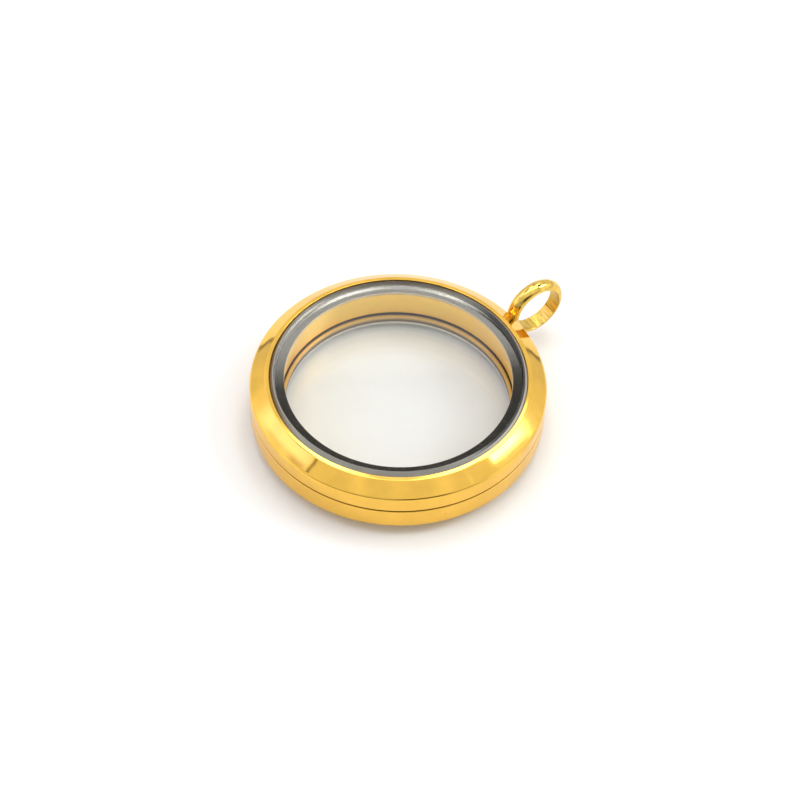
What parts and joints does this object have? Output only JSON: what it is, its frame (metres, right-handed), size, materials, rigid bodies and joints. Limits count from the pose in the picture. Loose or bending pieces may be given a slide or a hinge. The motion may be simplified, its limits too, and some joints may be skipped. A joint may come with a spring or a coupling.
{
  "type": "fillable glass locket",
  "caption": "Round see-through locket: a gold screw-together case with a thick glass on each face, dark seal rings, an empty chamber to fill and an upright eye for a chain.",
  "frame": {"origin": "middle of the back glass's outer face, which the locket lies on", "axes": "+Z out through the front glass, +Y from the middle towards the chain eye, +X to the right when the front is looked at with the eye at the top"},
  "size_m": [0.03, 0.0366, 0.0081],
  "materials": {
    "gold_metal": "polished gold plating",
    "seal": "smooth black rubber",
    "window_glass": "polished, with a ground edge"
  },
  "bodies": {
    "back": {"back_case": "gold_metal", "back_seal": "seal", "back_glass": "window_glass"},
    "front_window": {"front_glass": "window_glass", "front_seal": "seal"},
    "front_ring": {"front_case": "gold_metal"}
  },
  "joints": [
    {"name": "lift", "type": "slide", "parent": "back", "child": "front_window", "axis": [0, 0, 1], "range_m": [0, 0.0015]},
    {"name": "unscrew", "type": "hinge", "parent": "front_window", "child": "front_ring", "pos_m": [0, 0, 0.00475], "axis": [0, 0, 1], "range_deg": [0, 720]}
  ],
  "couplings": [
    {"joint": "lift", "follows": "unscrew", "m_per_rad": 0.00011937}
  ]
}
